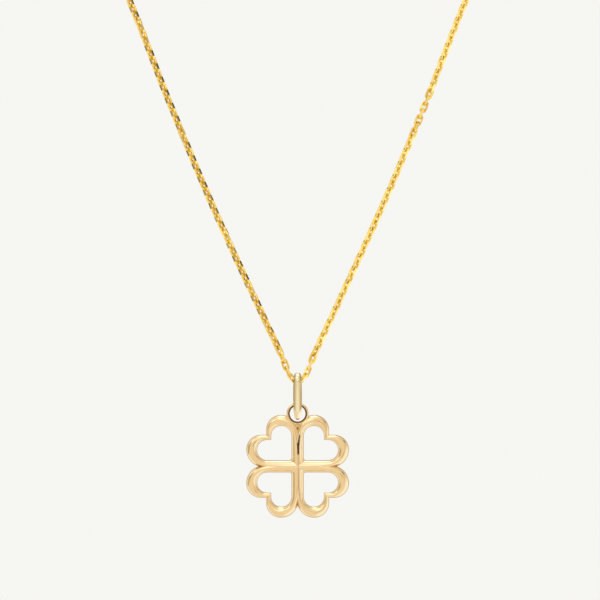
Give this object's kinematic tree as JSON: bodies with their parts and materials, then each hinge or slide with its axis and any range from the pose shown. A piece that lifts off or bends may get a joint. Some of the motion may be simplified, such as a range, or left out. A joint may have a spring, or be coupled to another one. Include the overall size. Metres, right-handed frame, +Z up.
{
  "type": "four leaf clover pendant necklace",
  "caption": "Openwork four leaf clover pendant with heart-shaped leaves, hanging from a bail on a fine cable chain closed by a ring clasp.",
  "frame": {"origin": "middle of the gap between the chain's two ends, where the clasp rests on the nape", "axes": "+Z up, the pendant's front faces -Y and +X is the viewer's right"},
  "size_m": [0.101, 0.1002, 0.1651],
  "materials": {
    "pendant_gold": "mirror polished pale yellow gold",
    "chain_gold": "bright diamond-cut yellow gold"
  },
  "bodies": {
    "chain_loop": {"chain": "chain_gold", "clasp": "chain_gold", "end_ring_left": "chain_gold", "end_ring_right": "chain_gold"},
    "bail": {"bail": "pendant_gold"},
    "clover": {"clover": "pendant_gold"}
  },
  "joints": [
    {"name": "bail_swing", "type": "hinge", "parent": "chain_loop", "child": "bail", "pos_m": [0, -0.0975, -0.1423], "axis": [1, 0, 0], "range_deg": [-80, 80]},
    {"name": "clover_swing", "type": "hinge", "parent": "bail", "child": "clover", "pos_m": [0, -0.0975, -0.14699], "axis": [0, 1, 0], "range_deg": [-70, 70]}
  ]
}
